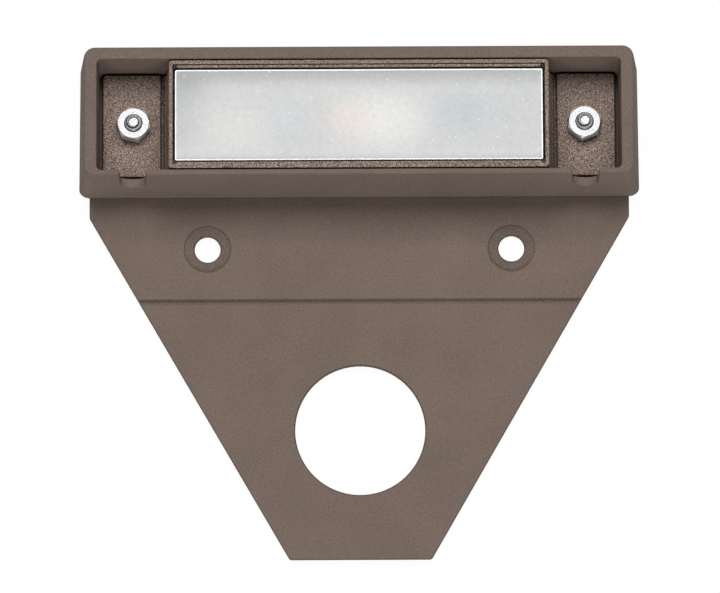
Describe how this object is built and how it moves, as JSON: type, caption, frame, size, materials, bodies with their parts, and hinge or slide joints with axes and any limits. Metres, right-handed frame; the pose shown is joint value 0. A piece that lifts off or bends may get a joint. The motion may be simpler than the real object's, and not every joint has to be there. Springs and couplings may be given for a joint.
{
  "type": "hardscape light",
  "caption": "Low-voltage hardscape light: a leaning cast head with a frosted lens module, clamped by studs and nuts, on a tapered mounting plate with a wire hole.",
  "frame": {"origin": "on the flat back face of the mounting plate, midway between its two screw holes", "axes": "+Z out of the front of the plate, the way the lens faces; +X along the head; +Y from the plate's narrow end to the head"},
  "size_m": [0.1348, 0.1224, 0.0189],
  "materials": {
    "cast_powder": "fine textured powder coat on cast aluminium, bronze brown",
    "module_powder": "coarse textured powder coat on cast aluminium, bronze brown",
    "lens_glass": "acid-etched frosted glass with polished edges",
    "seal_rubber": "moulded silicone rubber, matt",
    "reflector_white": "moulded white polycarbonate",
    "board_white": "aluminium-core circuit board with white solder mask",
    "emitter_yellow": "moulded emitter package with a phosphor window",
    "chip_black": "moulded epoxy",
    "ferrite_grey": "pressed ferrite",
    "ceramic_tan": "fired ceramic",
    "solder_tin": "tinned terminal",
    "pad_blue_grey": "soft silicone thermal pad",
    "potting_resin": "cast epoxy resin",
    "zinc_steel": "zinc-plated steel",
    "nut_zinc": "bright zinc-plated steel"
  },
  "bodies": {
    "root": {"mounting_plate": "cast_powder", "head_housing": "cast_powder", "plate_screws": "zinc_steel", "module_base": "module_powder", "bezel_frame": "module_powder", "lens": "lens_glass", "lens_gasket": "seal_rubber", "reflector": "reflector_white", "led_board": "board_white", "led_emitters": "emitter_yellow", "rectifier": "chip_black", "driver_chip": "chip_black", "power_inductor": "ferrite_grey", "capacitors": "ceramic_tan", "resistors": "chip_black", "lead_terminals": "solder_tin", "thermal_pad": "pad_blue_grey", "board_screws": "zinc_steel", "potting_plug": "potting_resin", "floor_seal": "seal_rubber", "lead_gland": "seal_rubber", "clamp_studs": "zinc_steel", "clamp_nuts": "nut_zinc"}
  },
  "joints": []
}
